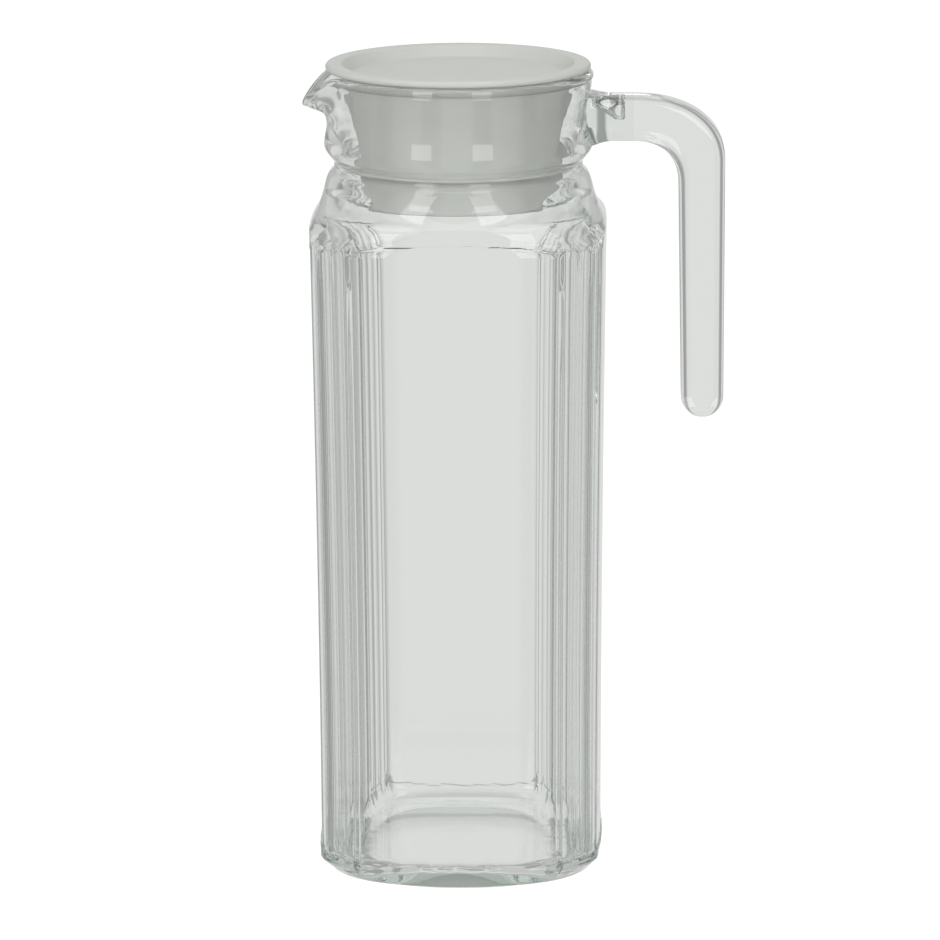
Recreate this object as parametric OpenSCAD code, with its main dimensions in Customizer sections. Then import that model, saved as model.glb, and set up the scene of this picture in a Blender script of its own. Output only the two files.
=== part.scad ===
// Tall pressed-glass fridge jug with four wide panels, grooved corners, a drooping spout,
// an open-ended glass handle and a white push-in lid. Millimetres, +Z up.
// The origin is the centre of the jug's foot; the spout points to -X and the handle to +X.

/* [Glass body] */
// Height of the glass, from the table to the top of the lip
jug_h = 257.4; // [235:0.1:285]
// Width across two opposite panels, just under the shoulder
body_w = 94.2; // [90:0.1:104]
// Width across two opposite panels at the heel
base_w = 91; // [84:0.1:98]
// How far the foot lies in from the panels at the heel, at the middle of a panel
foot_inset = 0.6; // [0.2:0.1:4]
// How squarely the foot is rounded: 2 is a circle, more is squarer
foot_squareness = 2.35; // [2.1:0.05:3.4]
// Height of the rounded heel under the panels
heel_h = 7; // [4:0.1:12]
// Glass at the middle of a panel
wall_t = 3; // [2.4:0.1:4.2]
// How squarely the inside is rounded: 2 is a circle, more is squarer
inside_squareness = 4.4; // [3.2:0.05:5.6]
// Glass between the inside floor and the table
base_t = 4.4; // [3.8:0.1:8]
// Rise of the hollow under the foot
kick_h = 1.2; // [0.6:0.1:2]
// Width of the ring that stands on the table, at the middle of a panel
foot_ring_w = 8.2; // [6:0.1:11]

/* [Panels and corner grooves] */
// Width of each of the four wide panels
panel_w = 66.6; // [58:0.1:70]
// How far the middle of a panel stands out beyond its edges
panel_bow = 1.6; // [0.4:0.1:2.4]
// Number of narrow facets at each corner
corner_facets = 3; // [2:1:4]
// Width of the grooves between panels and facets
groove_w = 2; // [1:0.1:2.6]
// Depth of those grooves
groove_d = 0.7; // [0.3:0.05:1.2]
// How far the panels lie below the shoulder and the heel
panel_step = 0.45; // [0.1:0.05:0.7]

/* [Shoulder and neck] */
// Height of the shoulder, from the panels' tops to the foot of the neck
shoulder_h = 16.2; // [13:0.1:22]
// Outer radius of the neck at its fullest
neck_r = 42.7; // [40:0.1:44]
// Glass of the neck
neck_t = 3.2; // [2.4:0.1:4]
// Depth of the waist half way up the neck
neck_waist = 1.1; // [0.4:0.1:1.6]
// Height from the middle of the ring groove to the top of the lip
neck_h = 29.4; // [26:0.1:34]
// Depth of the ring groove at the foot of the neck
ring_d = 3.1; // [2:0.1:4]
// Height of the ring groove
ring_w = 9; // [7:0.1:11]
// Radius of the rolled edge of the lip
lip_roll_r = 1.5; // [1:0.1:1.9]

/* [Spout] */
// How far the tip of the spout stands out beyond the lip
spout_out = 6.8; // [4:0.1:10]
// How far the tip of the spout lies below the lip
spout_drop = 9; // [5:0.1:12]
// Height of glass under the lip that is drawn out into the spout
spout_root_h = 16.4; // [13:0.1:19]
// Angle from the middle of the spout to where it meets the round lip
spout_angle = 28; // [22:1:36]

/* [Handle] */
// Width of the handle across its flat front
handle_w = 16; // [13:0.1:20]
// Height of the arm where it leaves the neck
arm_t = 14.4; // [11:0.1:17]
// Height from the top of the arm to the top of the lip
arm_drop = 7.8; // [6:0.1:9.5]
// How far the neck's stub stands out before the handle is fused to it
stub_l = 12.7; // [9:0.1:15]
// Clear gap for the fingers, between the body and the bar
finger_gap = 22.7; // [19:0.1:30]
// Thickness of the bar at its top
bar_t = 14.8; // [12:0.1:17]
// Thickness of the bar above its rounded end
bar_end_t = 13.7; // [11:0.1:16]
// Height from the top of the arm to the free end of the bar
handle_drop = 103.5; // [85:0.5:125]
// Height of the outside of the bend
outer_bend_h = 20.6; // [17:0.1:26]
// Height of the inside of the bend
inner_bend_h = 14.7; // [11:0.1:20]

/* [Lid] */
// Outer radius of the lid's rim
rim_r = 42; // [40:0.1:43]
// Thickness of the rim at its rounded edge
rim_t = 2.3; // [1.6:0.1:3]
// Width of the rim around the dish
rim_w = 5.9; // [4.5:0.1:7.5]
// Depth of the dish at the foot of its wall
dish_d = 3.6; // [2.4:0.1:5]
// How much deeper the middle of the dish is
dish_sag = 1.4; // [0.6:0.1:2]
// Thickness of the lid's walls
lid_wall_t = 1.6; // [1.1:0.1:2.2]
// Outer radius of the lid's cup under the rim
cup_top_r = 37.6; // [36.6:0.1:38.2]
// Outer radius of the skirt
skirt_r = 32.6; // [30:0.1:33.6]
// Depth of the lid below the rim, down to the end of the skirt
skirt_l = 41.2; // [37:0.1:46]
// Thickness of the sealing fin
fin_t = 1.2; // [0.8:0.1:1.8]
// Width of the pouring gap in the skirt and the fin
pour_gap_w = 27.4; // [18:0.1:34]
// Clearance between the lid and the glass
lid_gap = 0.3; // [0.2:0.05:0.5]

/* [Hidden] */
$fn = 96;

// How far a cutting shape reaches past what it cuts
overrun = 1;
// Points between two groove edges on a wide panel
panel_points = 9;
// Points round a section of the handle
bar_points = 32;
// How squarely the handle's section is rounded
bar_squareness = 5;
// Steps along each round stretch of the handle, and along its straight bar
bend_steps = 9;
bar_steps = 4;
end_steps = 4;
// How squarely the outside and the inside of the handle's bend are rounded
outer_bend_squareness = 2.2;
inner_bend_squareness = 2.4;
// Steps on a rounded edge of the lid
edge_steps = 6;

// Heights on the jug's axis
ring_z = jug_h - neck_h;
neck_foot_z = ring_z - ring_w / 2;
neck_full_z = ring_z + ring_w / 2 + panel_bow;
panels_top_z = neck_foot_z - shoulder_h;
spout_root_z = jug_h - spout_root_h;
lip_z = jug_h - lip_roll_r;
arm_top_z = jug_h - arm_drop;
arm_low_z = arm_top_z - arm_t;
// Width of the foot that stands on the table, across the panels
foot_w = base_w - 2 * foot_inset;
// Radii on the jug's axis
lip_r = neck_r - neck_t / 2 - lip_roll_r / 10;
mouth_r = neck_r - neck_t;
seat_r = neck_r - ring_d - neck_t;
// Places of the handle along X
stub_end_x = neck_r + stub_l;
bar_inner_x = body_w / 2 + finger_gap;
bar_outer_x = bar_inner_x + bar_t;

function smooth(t) = t * t * (3 - 2 * t);
function mix(a, b, t) = a + (b - a) * t;
function total(list) = list * [for (v = list) 1];
function from_polar(r, angle) = [r * cos(angle), r * sin(angle)];
// Radius, at an angle, of a square with soft corners
function soft_square_r(half, squareness, angle) =
    half / pow(pow(abs(cos(angle)), squareness) + pow(abs(sin(angle)), squareness), 1 / squareness);

// The outline of the panels and facets, for one quarter that faces +X
edge_lean = atan(4 * panel_bow / panel_w);
facet_turn = (90 - 2 * edge_lean) / (corner_facets + 1);
facet_run = (body_w - panel_w) / 2 - panel_bow;
facet_l = facet_run / total([for (i = [1:corner_facets]) sin(edge_lean + facet_turn * i)]);
function edge_heading(i) = 90 + edge_lean + facet_turn * i;
// Corner of the outline where groove j runs
function groove_place(j) = j == 0
    ? [body_w / 2 - panel_bow, panel_w / 2]
    : groove_place(j - 1) + from_polar(facet_l, edge_heading(j));
function panel_outline() = [
    for (k = [1:panel_points])
        let (t = 2 * k / (panel_points + 1) - 1)
        [body_w / 2 - panel_bow * t * t, panel_w / 2 * t]
];
function groove_outline(j, depth) =
    let (
        place = groove_place(j),
        inward = (edge_heading(j) + edge_heading(j + 1)) / 2 + 90
    )
    [
        place - from_polar(groove_w / 2, edge_heading(j)),
        place + from_polar(depth, inward),
        place + from_polar(groove_w / 2, edge_heading(j + 1))
    ];
function quarter_outline(depth) = [
    each panel_outline(),
    for (j = [0:corner_facets]) each groove_outline(j, depth)
];
function turned(p, angle) = [p.x * cos(angle) - p.y * sin(angle), p.x * sin(angle) + p.y * cos(angle)];
function body_outline(depth) = [
    for (q = [0:3]) for (p = quarter_outline(depth)) turned(p, 90 * q)
];
grooved = body_outline(groove_d);
plain = body_outline(0);
// Direction of each column of points, the same at every height
headings = [for (p = plain) atan2(p.y, p.x)];
columns = len(headings);

// Half the width across the panels at a height: a little waisted below the middle
body_curve = 1.8;
function half_w(z) = mix(base_w / 2, body_w / 2, pow(max(z, 0) / panels_top_z, body_curve));

function level(points, z) = [for (p = points) [p.x, p.y, z]];
function circle_at(r, z) = level([for (a = headings) from_polar(r, a)], z);
function soft_square_at(half, squareness, z) =
    level([for (a = headings) from_polar(soft_square_r(half, squareness, a), a)], z);
function panels_at(z, outline, proud) =
    let (s = (half_w(z) + proud) / (body_w / 2))
    level([for (p = outline) p * s], z);
function between(low, high, t, z) =
    [for (k = [0:columns - 1]) let (p = mix(low[k], high[k], t)) [p.x, p.y, z]];

// How much a column belongs to the spout, and how a ring of the neck is drawn out into it
function spout_share(angle) = let (off = 180 - abs(angle)) off < spout_angle ? cos(90 * off / spout_angle) : 0;
spout_out_power = 1.5;
spout_drop_power = 2.5;
channel_power = 1.5;
function drawn(r, z, pull) = [
    for (a = headings)
        let (
            share = spout_share(a),
            out = r + spout_out * pull * pow(share, spout_out_power)
        )
        [out * cos(a), out * sin(a), z - spout_drop * pull * pow(share, spout_drop_power)]
];
function root_share(z) = min(max((z - spout_root_z) / spout_root_h, 0), 1);
function neck_outside(r, z) = drawn(r, z, smooth(root_share(z)));
function neck_inside(r, z) = drawn(r, z, pow(root_share(z), channel_power));

// Outside, from the table to the lip
heel_rise_shares = [0, 0.06, 0.3, 0.65, 1];
heel_fill_shares = [0, 0.12, 0.36, 0.72, 1];
shoulder_rise_shares = [0, 0.13, 0.3, 0.48, 0.7, 1];
shoulder_draw_shares = [1, 0.97, 0.76, 0.46, 0.24, 0];
body_height_shares = [0.2, 0.38, 0.56, 0.72, 0.86];
function heel_rings() =
    let (
        foot = soft_square_at(foot_w / 2, foot_squareness, 0),
        top = panels_at(heel_h, plain, panel_step)
    )
    [
        for (i = [0:len(heel_rise_shares) - 1])
            between(foot, top, heel_fill_shares[i], heel_h * heel_rise_shares[i])
    ];
function panel_rings() = [
    panels_at(heel_h + groove_w / 2, grooved, 0),
    for (s = body_height_shares) panels_at(panels_top_z * s, grooved, 0),
    panels_at(panels_top_z - groove_w, grooved, 0)
];
function shoulder_rings() =
    let (
        low = panels_at(panels_top_z, plain, panel_step),
        high = circle_at(neck_r - ring_d / 4, neck_foot_z)
    )
    [
        for (i = [0:len(shoulder_rise_shares) - 1])
            between(high, low, shoulder_draw_shares[i], panels_top_z + shoulder_h * shoulder_rise_shares[i])
    ];
// Depth shares of the ring groove, from its foot to the full neck
ring_depth_shares = [0.55, 1, 1, 0.7, 0.35];
ring_height_shares = [0.2, 0.36, 0.6, 0.76, 0.9];
function ring_groove_rings() = [
    for (i = [0:len(ring_depth_shares) - 1])
        circle_at(neck_r - ring_d * ring_depth_shares[i], neck_foot_z + ring_w * ring_height_shares[i])
];
neck_rise_shares = [0.3, 0.48, 0.62, 0.76, 0.9];
function neck_rings() = [
    circle_at(neck_r, neck_full_z),
    for (s = neck_rise_shares)
        neck_outside(neck_r - neck_waist * sin(180 * s), mix(neck_full_z, lip_z, s))
];
lip_angles = [-50, 0, 50, 90, 140];
function lip_rings() = [
    for (a = lip_angles)
        let (
            r = lip_r + (neck_t / 2 + lip_roll_r / 4) * cos(a),
            z = lip_z + lip_roll_r * sin(a)
        )
        drawn(r, z, smooth(root_share(lip_z)))
];
// Inside, from the lip to the floor
mouth_drop_shares = [0.08, 0.25, 0.45, 0.65, 0.9];
function mouth_rings() = [
    for (s = mouth_drop_shares) neck_inside(mouth_r, mix(lip_z, neck_full_z, s))
];
seat_depth_shares = [0.15, 0.65, 1, 1, 0.45];
seat_height_shares = [1, 0.8, 0.56, 0.4, 0.05];
function seat_rings() = [
    for (i = [0:len(seat_depth_shares) - 1])
        circle_at(mouth_r - ring_d * seat_depth_shares[i], neck_foot_z + ring_w * seat_height_shares[i])
];
inside_drop_shares = [0.25, 0.5, 0.75, 1.15];
inside_draw_shares = [0.12, 0.4, 0.78, 1];
function inside_at(z) = soft_square_at(half_w(z) - wall_t, inside_squareness, z);
function inside_shoulder_rings() =
    let (
        high = circle_at(mouth_r - ring_d / 2, neck_foot_z),
        low = inside_at(panels_top_z)
    )
    [
        for (i = [0:len(inside_drop_shares) - 1])
            between(high, low, inside_draw_shares[i], neck_foot_z - shoulder_h * inside_drop_shares[i])
    ];
inside_height_shares = [0.7, 0.4];
function inside_rings() = [for (s = inside_height_shares) inside_at(panels_top_z * s)];
// The floor runs into the walls in a short curve, and its own corners are rounder
floor_curve_h = 5;
floor_curve_w = 5.5;
floor_squareness = 3.2;
floor_angles = [0, 25, 48, 70, 90];
function floor_rings() = [
    for (a = floor_angles)
        let (
            z = base_t + floor_curve_h * (1 - sin(a)),
            inset = floor_curve_w * (1 - cos(a)),
            squareness = mix(inside_squareness, floor_squareness, a / 90)
        )
        soft_square_at(half_w(z) - wall_t - inset, squareness, z)
];

// A closed skin through rings of points, with a point at each end
function skin_points(rings, first, last) = [first, each [for (r = rings) each r], last];
function skin_faces(rings) =
    let (n = len(rings[0]), m = len(rings), last = n * m + 1)
    [
        for (k = [0:n - 1]) [0, 1 + k, 1 + (k + 1) % n],
        for (i = [0:m - 2]) for (k = [0:n - 1])
            let (
                a = 1 + i * n + k,
                b = 1 + i * n + (k + 1) % n
            )
            each [[a, a + n, b], [b, a + n, b + n]],
        for (k = [0:n - 1]) [last, 1 + (m - 1) * n + (k + 1) % n, 1 + (m - 1) * n + k]
    ];
module skin(rings, first, last) {
    polyhedron(points = skin_points(rings, first, last), faces = skin_faces(rings), convexity = 6);
}

// Blown glass with its neck, lip and spout, closed underneath
module glass_shell() {
    rings = [
        each heel_rings(),
        each panel_rings(),
        each shoulder_rings(),
        each ring_groove_rings(),
        each neck_rings(),
        each lip_rings(),
        each mouth_rings(),
        each seat_rings(),
        each inside_shoulder_rings(),
        each inside_rings(),
        each floor_rings()
    ];
    skin(rings, [0, 0, 0], [0, 0, base_t]);
}

// Section of the handle as shares of its half thickness and half width
bar_section_shares = [
    for (k = [0:bar_points - 1])
        let (a = 360 * k / bar_points)
        [
            sign(cos(a)) * pow(abs(cos(a)), 2 / bar_squareness),
            sign(sin(a)) * pow(abs(sin(a)), 2 / bar_squareness)
        ]
];
// A section that lies between a point on the inside and a point on the outside of the handle
function section(inside, outside, width) = [
    for (s = bar_section_shares)
        let (p = (inside + outside) / 2 + s.x * (outside - inside) / 2)
        [p.x, s.y * width / 2, p.y]
];
function bend_place(half_x, half_z, squareness, angle) = [
    stub_end_x + half_x * pow(cos(angle), 2 / squareness),
    half_z * pow(sin(angle), 2 / squareness)
];
outer_bend_z = arm_top_z - outer_bend_h;
inner_bend_z = arm_low_z - inner_bend_h;
end_r = bar_end_t / 2;
end_z = arm_top_z - handle_drop + end_r;
function bend_sections() = [
    for (i = [0:bend_steps])
        let (
            angle = 90 * (1 - i / bend_steps),
            outside = bend_place(bar_outer_x - stub_end_x, outer_bend_h, outer_bend_squareness, angle),
            inside = bend_place(bar_inner_x - stub_end_x, inner_bend_h, inner_bend_squareness, angle)
        )
        section(inside + [0, inner_bend_z], outside + [0, outer_bend_z], handle_w)
];
function bar_sections() = [
    for (i = [1:bar_steps])
        let (
            t = i / bar_steps,
            inside = [mix(bar_inner_x, bar_outer_x - bar_end_t, t), mix(inner_bend_z, end_z, t)],
            outside = [bar_outer_x, mix(outer_bend_z, end_z, t)]
        )
        section(inside, outside, handle_w)
];
function end_sections() = [
    for (i = [1:end_steps])
        let (
            a = 90 * i / (end_steps + 1 / end_steps),
            middle = [bar_outer_x - end_r, end_z - end_r * sin(a)],
            half = [end_r * cos(a), 0]
        )
        section(middle - half, middle + half, handle_w * pow(cos(a), 1 / bar_squareness))
];

// Short stub that stands out of the neck; it has the handle's own section
module handle_stub() {
    sunk_x = mouth_r + neck_t / 4;
    outline = [for (p = bend_sections()[0]) [p.y, p.z]];
    translate([sunk_x, 0, 0])
        rotate([90, 0, 90])
            linear_extrude(height = stub_end_x - sunk_x)
                polygon(outline);
}

// Shallow hollow under the foot, which leaves a ring to stand on
module kick_cut() {
    ring_inner_r = foot_w / 2 - foot_ring_w;
    ball_r = (ring_inner_r * ring_inner_r + kick_h * kick_h) / (2 * kick_h);
    translate([0, 0, kick_h - ball_r])
        sphere(r = ball_r);
}

module jug_body() {
    color([0.80, 0.86, 0.84, 0.5])
        difference() {
            union() {
                glass_shell();
                handle_stub();
            }
            kick_cut();
        }
}

// Pressed glass bar, fused to the stub and open at its lower end
module handle() {
    sections = [
        each bend_sections(),
        each bar_sections(),
        each end_sections()
    ];
    first = [stub_end_x, 0, (arm_top_z + arm_low_z) / 2];
    last = [bar_outer_x - end_r, 0, end_z - end_r];
    color([0.82, 0.87, 0.86, 0.5])
        skin(sections, first, last);
}

// Points on a round corner of an outline
function corner(centre, r, start, end) = [
    for (i = [0:edge_steps]) centre + from_polar(r, mix(start, end, i / edge_steps))
];
// Heights of the lid
lid_seat_z = jug_h + lid_gap;
lid_top_z = lid_seat_z + rim_t;
dish_r = rim_r - rim_w;
dish_z = lid_top_z - dish_d;
cup_foot_z = ring_z + ring_w / 2;
skirt_end_z = lid_seat_z - skirt_l;
fin_r = seat_r - lid_gap;
fin_z = ring_z - fin_t / 2;
// The cup's wall flares towards the rim
cup_flare = 1.7;
cup_steps = 5;
function cup_r(z) = mix(skirt_r, cup_top_r, pow((z - cup_foot_z) / (lid_seat_z - cup_foot_z), cup_flare));
function cup_wall(inset, low, high) = [
    for (i = [0:cup_steps])
        let (z = mix(low, high, i / cup_steps))
        [cup_r(z) - inset, z]
];
function reversed(list) = [for (i = [len(list) - 1:-1:0]) list[i]];
// Half of the lid's section, from the middle of the dish out and round to the underside
function lid_outline() =
    let (
        half_t = rim_t / 2,
        plate_z = dish_z - lid_wall_t,
        fillet_r = dish_d / 2,
        ceiling_r = cup_r(plate_z) - lid_wall_t
    )
    [
        [0, dish_z - dish_sag],
        [dish_r / 2, dish_z - dish_sag * 3 / 4],
        each corner([dish_r - 2 * fillet_r, dish_z + fillet_r], fillet_r, -90, -30),
        each corner([dish_r + fillet_r, lid_top_z - fillet_r], fillet_r, 150, 90),
        each corner([rim_r - half_t, lid_seat_z + half_t], half_t, 90, -90),
        each reversed(cup_wall(0, cup_foot_z, lid_seat_z)),
        [skirt_r, fin_z + fin_t],
        [fin_r, fin_z + fin_t],
        [fin_r, fin_z],
        [skirt_r, fin_z],
        [skirt_r, skirt_end_z],
        [skirt_r - lid_wall_t, skirt_end_z],
        each cup_wall(lid_wall_t, cup_foot_z, plate_z - fillet_r),
        [ceiling_r - fillet_r, plate_z],
        [0, plate_z - dish_sag]
    ];

// One-piece plastic lid: dished top, tapering cup, sealing fin and skirt with a pouring gap
module lid() {
    color([0.88, 0.89, 0.87])
        difference() {
            rotate_extrude()
                polygon(lid_outline());
            translate([-rim_r, -pour_gap_w / 2, skirt_end_z - overrun])
                cube([rim_r, pour_gap_w, fin_z + fin_t + overrun - skirt_end_z + overrun]);
        }
}

jug_body();
handle();
lid();
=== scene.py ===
# %% [markdown]
# # A pressed-glass fridge jug with a white lid
# The real object has three pieces: a tall jug of clear pressed glass, a glass bar that is fused to a stub on its
# neck as a handle, and a one-piece plastic lid that is pushed into the neck.
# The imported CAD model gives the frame. Each piece here is a finer copy of its solid: it takes the same named sizes,
# in millimetres, and adds what only a render needs, such as rounded grooves and slightly wavy glass.

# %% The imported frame
import math

import bmesh
import bpy
import numpy as np
from mathutils import Euler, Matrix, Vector


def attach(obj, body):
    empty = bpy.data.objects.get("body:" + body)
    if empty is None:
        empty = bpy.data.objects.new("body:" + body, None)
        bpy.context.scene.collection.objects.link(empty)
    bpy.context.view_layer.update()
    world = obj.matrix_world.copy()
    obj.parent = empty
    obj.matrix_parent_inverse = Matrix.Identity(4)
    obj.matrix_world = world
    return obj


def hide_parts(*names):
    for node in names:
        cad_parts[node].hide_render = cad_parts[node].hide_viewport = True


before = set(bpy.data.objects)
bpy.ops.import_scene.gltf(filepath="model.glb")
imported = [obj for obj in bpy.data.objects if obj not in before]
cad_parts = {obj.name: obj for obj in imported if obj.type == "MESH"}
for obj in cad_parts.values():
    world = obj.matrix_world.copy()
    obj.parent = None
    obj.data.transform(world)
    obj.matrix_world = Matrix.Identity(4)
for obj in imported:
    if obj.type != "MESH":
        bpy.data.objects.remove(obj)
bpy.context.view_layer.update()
MM = 0.001

# %% [markdown]
# ## The camera
# A long lens stands about 1.5 m away, 23 cm above the lid and turned 1.6 degrees towards the handle.
# Its place could be guessed by eye. Here it comes from the ellipses of the lid and the foot: how flat each one looks
# gives the height of the lens, and how much wider the top looks than the foot gives its distance.

# %% The camera
FRAME_PIXELS = 940
LENS_PIXELS = 4785.6
SENSOR_W = 36.0
CAMERA_TURN = math.radians(1.604)
CAMERA_YAW = math.radians(-0.122)
CAMERA_PITCH = math.radians(13.469)
CAMERA_ROLL = math.radians(-0.256)
CAMERA_REACH = 1.5014
CAMERA_HEIGHT = 0.4868

camera_data = bpy.data.cameras.new("studio_camera")
camera_data.sensor_width = SENSOR_W
camera_data.lens = LENS_PIXELS * SENSOR_W / FRAME_PIXELS
camera = bpy.data.objects.new("studio_camera", camera_data)
bpy.context.scene.collection.objects.link(camera)
camera.location = (CAMERA_REACH * math.sin(CAMERA_TURN), -CAMERA_REACH * math.cos(CAMERA_TURN), CAMERA_HEIGHT)
aim = Euler((math.pi / 2 - CAMERA_PITCH, 0, CAMERA_TURN + CAMERA_YAW)).to_matrix()
camera.rotation_euler = (aim @ Euler((0, 0, CAMERA_ROLL)).to_matrix()).to_euler()
bpy.context.scene.camera = camera
print("camera at", [round(v, 3) for v in camera.location], "lens", round(camera_data.lens, 1))

# %% [markdown]
# ## The sizes of the jug
# These are the sizes of the solids. Every curve below is worked out from them, so a piece made here sits exactly
# where its solid does.

# %% Sizes in millimetres
JUG_H, BODY_W, BASE_W, FOOT_INSET = 257.4, 94.2, 91.0, 0.6
FOOT_SQUARENESS, INSIDE_SQUARENESS, FLOOR_SQUARENESS = 2.35, 4.0, 3.2
HEEL_H, WALL_T, BASE_T, KICK_H, FOOT_RING_W = 7.0, 3.0, 4.4, 1.2, 8.2
FLOOR_CURVE_H, FLOOR_CURVE_W = 5.0, 5.5
PANEL_W, PANEL_BOW, CORNER_FACETS, GROOVE_W, GROOVE_D, PANEL_STEP = 66.6, 1.6, 3, 2.0, 0.7, 0.45
SHOULDER_H, NECK_R, NECK_T, NECK_WAIST, NECK_H = 16.2, 42.7, 3.2, 1.1, 29.4
RING_D, RING_W, LIP_ROLL_R = 3.1, 9.0, 1.5
SPOUT_OUT, SPOUT_DROP, SPOUT_ROOT_H, SPOUT_ANGLE = 6.8, 9.0, 16.4, 28.0
HANDLE_W, ARM_T, ARM_DROP, STUB_L, FINGER_GAP = 16.0, 14.4, 7.8, 12.7, 22.7
BAR_T, BAR_END_T, HANDLE_DROP, OUTER_BEND_H, INNER_BEND_H = 14.8, 13.7, 103.5, 20.6, 14.7

RING_Z = JUG_H - NECK_H
NECK_FOOT_Z = RING_Z - RING_W / 2
NECK_FULL_Z = RING_Z + RING_W / 2 + PANEL_BOW
PANELS_TOP_Z = NECK_FOOT_Z - SHOULDER_H
SPOUT_ROOT_Z = JUG_H - SPOUT_ROOT_H
LIP_Z = JUG_H - LIP_ROLL_R
ARM_TOP_Z = JUG_H - ARM_DROP
ARM_LOW_Z = ARM_TOP_Z - ARM_T
LIP_R = NECK_R - NECK_T / 2 - LIP_ROLL_R / 10
MOUTH_R = NECK_R - NECK_T
STUB_END_X = NECK_R + STUB_L
BAR_INNER_X = BODY_W / 2 + FINGER_GAP
BAR_OUTER_X = BAR_INNER_X + BAR_T
FOOT_W = BASE_W - 2 * FOOT_INSET
print("panels end at", round(PANELS_TOP_Z, 1), "mm, the ring groove lies at", round(RING_Z, 1), "mm")

# %% [markdown]
# ## Smooth curves through rings of points
# A blown or pressed shape is easiest to describe by rings: the outline at one height, then at the next. A smooth
# curve through each column of points fills in the rings between. A revolved profile would be simpler, but this jug is
# square below and round above. A subdivided box would round off the fine grooves.

# %% A soft step and a smooth curve
def smooth(t):
    t = np.clip(t, 0, 1)
    return t * t * (3 - 2 * t)


def flowing(knots, values, places):
    """A curve through the values at the knots that never swings past them, read at the places."""
    knots, values = np.asarray(knots, float), np.asarray(values, float)
    gaps = np.diff(knots).reshape((-1,) + (1,) * (values.ndim - 1))
    slopes = np.diff(values, axis=0) / gaps
    lean = np.zeros_like(values)
    lean[0], lean[-1] = slopes[0], slopes[-1]
    before, after = slopes[:-1], slopes[1:]
    near, far = 2 * gaps[1:] + gaps[:-1], gaps[1:] + 2 * gaps[:-1]
    with np.errstate(divide="ignore", invalid="ignore"):
        mean = (near + far) / (near / before + far / after)
    lean[1:-1] = np.where(before * after > 0, mean, 0)
    i = np.clip(np.searchsorted(knots, places, side="right") - 1, 0, len(knots) - 2)
    gap = gaps[i]
    t = (np.asarray(places) - knots[i]).reshape(gap.shape) / gap
    t2, t3 = t * t, t * t * t
    return (
        (2 * t3 - 3 * t2 + 1) * values[i]
        + (t3 - 2 * t2 + t) * gap * lean[i]
        + (3 * t2 - 2 * t3) * values[i + 1]
        + (t3 - t2) * gap * lean[i + 1]
    )


print("a soft step rises", [round(float(smooth(t)), 3) for t in (0.25, 0.5, 0.75)], "at each quarter")

# %% [markdown]
# ## A skin over the rings
# A real pressed piece is closed glass all round, and so is the mesh: faces join each ring to the next, and a point
# closes each end. A Solidify modifier could give a thin shell its thickness, but the inside of the jug has a shape of
# its own. The faces are turned outwards at the end, because glass bends light by the side that a face looks to.

# %% A closed mesh through rings
def skin(name, rings, first, last):
    """A closed mesh object through rings of points in millimetres, with a point at each end."""
    rings = np.asarray(rings, float)
    count, size = rings.shape[:2]
    points = np.vstack([[first], rings.reshape(-1, 3), [last]]) * MM
    k = np.arange(size)
    after = (k + 1) % size
    faces = [(0, 1 + b, 1 + a) for a, b in zip(k, after)]
    for i in range(count - 1):
        low, high = 1 + i * size, 1 + (i + 1) * size
        faces += list(zip(low + k, low + after, high + after, high + k))
    end, top = 1 + count * size, 1 + (count - 1) * size
    faces += [(end, top + a, top + b) for a, b in zip(k, after)]
    mesh = bpy.data.meshes.new(name)
    mesh.from_pydata(points.tolist(), [], [tuple(int(v) for v in f) for f in faces])
    mesh.update()
    made = bpy.data.objects.new(name, mesh)
    bpy.context.scene.collection.objects.link(made)
    face_outwards(mesh)
    return made


def face_outwards(mesh):
    """Turns a closed mesh's faces round where they point inwards."""
    work = bmesh.new()
    work.from_mesh(mesh)
    if work.calc_volume(signed=True) < 0:
        bmesh.ops.reverse_faces(work, faces=work.faces)
    work.to_mesh(mesh)
    work.free()


def report(piece):
    print(piece.name, "has", sum(len(p.vertices) - 2 for p in piece.data.polygons), "triangles")


print("helpers: skin, face_outwards, report")

# %% [markdown]
# ## The outline of the glass body
# Seen from above the body is a square with soft sides. Each corner is cut into three narrow facets, and a groove
# runs between neighbours. The outline could be drawn by hand; here it follows the pressed pattern: the heading turns
# by the same angle at each groove. Near a groove the points lie close together, so that the glass can bend sharply.

# %% The outline of the body
EDGE_LEAN = math.degrees(math.atan(4 * PANEL_BOW / PANEL_W))
FACET_TURN = (90 - 2 * EDGE_LEAN) / (CORNER_FACETS + 1)
FACET_RUN = (BODY_W - PANEL_W) / 2 - PANEL_BOW
FACET_L = FACET_RUN / sum(math.sin(math.radians(EDGE_LEAN + FACET_TURN * (i + 1))) for i in range(CORNER_FACETS))
GROOVE_REACH = 1.5
HALF_STEPS = np.array([0.15, 0.35, 0.53, 0.68, 0.78, 0.835, 1]) * GROOVE_REACH
GROOVE_STEPS = np.concatenate([-HALF_STEPS[::-1], [0], HALF_STEPS])
PANEL_COLUMNS, FACET_COLUMNS = 30, 1


def heading(angle):
    return np.array([math.cos(math.radians(angle)), math.sin(math.radians(angle))])


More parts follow.
